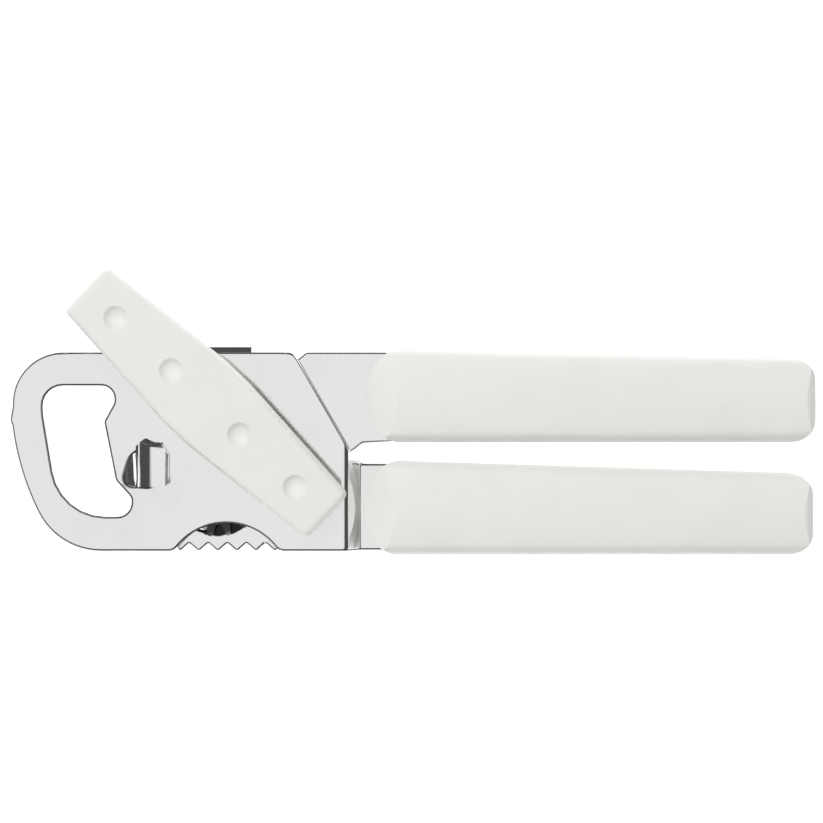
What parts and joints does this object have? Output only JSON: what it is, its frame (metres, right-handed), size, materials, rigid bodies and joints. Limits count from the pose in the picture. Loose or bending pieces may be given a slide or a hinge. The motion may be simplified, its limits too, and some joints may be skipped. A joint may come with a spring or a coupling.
{
  "type": "manual can opener",
  "caption": "Hand can opener: two pivoting chrome plates with white grips, a turning key, geared feed wheel and cutting disc, cap lifter loop and serrated cap grip.",
  "frame": {"origin": "middle of the bounding box in X and Y, at the height of the flat surface that the opener lies on", "axes": "+X along the handles, away from the wheels; +Z out of the front, along the key shaft; +Y towards the upper handle"},
  "size_m": [0.1798, 0.0629, 0.0258],
  "materials": {
    "front_plate": "bright nickel-chrome plated steel sheet",
    "lower_grip": "white moulded plastic, satin",
    "cutter_stud": "zinc plated steel",
    "cutter_screw": "zinc plated steel",
    "cutter_washer": "zinc plated steel",
    "rear_plate": "bright nickel-chrome plated steel sheet",
    "upper_grip": "white moulded plastic, satin",
    "key_bushing": "zinc plated steel",
    "key_washer": "zinc plated steel",
    "key_shaft": "zinc plated steel",
    "key_bar": "zinc plated steel",
    "key_nut": "zinc plated steel",
    "key_cover": "white moulded plastic, satin",
    "drive_gear": "stamped steel, blackened and greased",
    "feed_wheel": "hardened steel, plated",
    "feed_washer": "zinc plated steel",
    "feed_screw": "zinc plated steel",
    "cutter_hub": "zinc plated steel",
    "cutter_gear": "stamped steel, blackened and greased",
    "cutter_spacer": "zinc plated steel",
    "cutter_spring_washer": "zinc plated steel",
    "cutter_wheel": "hardened steel, ground edge"
  },
  "bodies": {
    "lower_handle": {"front_plate": "front_plate", "lower_grip": "lower_grip", "cutter_stud": "cutter_stud", "cutter_screw": "cutter_screw", "cutter_washer": "cutter_washer"},
    "upper_handle": {"rear_plate": "rear_plate", "upper_grip": "upper_grip", "key_bushing": "key_bushing"},
    "key": {"key_washer": "key_washer", "key_shaft": "key_shaft", "key_bar": "key_bar", "key_nut": "key_nut", "key_cover": "key_cover", "drive_gear": "drive_gear", "feed_wheel": "feed_wheel", "feed_washer": "feed_washer", "feed_screw": "feed_screw"},
    "cutter": {"cutter_hub": "cutter_hub", "cutter_gear": "cutter_gear", "cutter_spacer": "cutter_spacer", "cutter_spring_washer": "cutter_spring_washer", "cutter_wheel": "cutter_wheel"}
  },
  "joints": [
    {"name": "handle_pivot", "type": "hinge", "parent": "lower_handle", "child": "upper_handle", "pos_m": [-0.05973, -0.01205, 0.0075], "axis": [0, 0, 1], "range_deg": [0, 22]},
    {"name": "key_spin", "type": "hinge", "parent": "upper_handle", "child": "key", "pos_m": [-0.04498, 0.0025, 0.01], "axis": [0, 0, 1], "continuous": true},
    {"name": "cutter_spin", "type": "hinge", "parent": "lower_handle", "child": "cutter", "pos_m": [-0.04397, -0.01667, 0.006], "axis": [0, 0, 1], "continuous": true}
  ],
  "couplings": [
    {"joint": "cutter_spin", "follows": "key_spin", "ratio": -1}
  ]
}
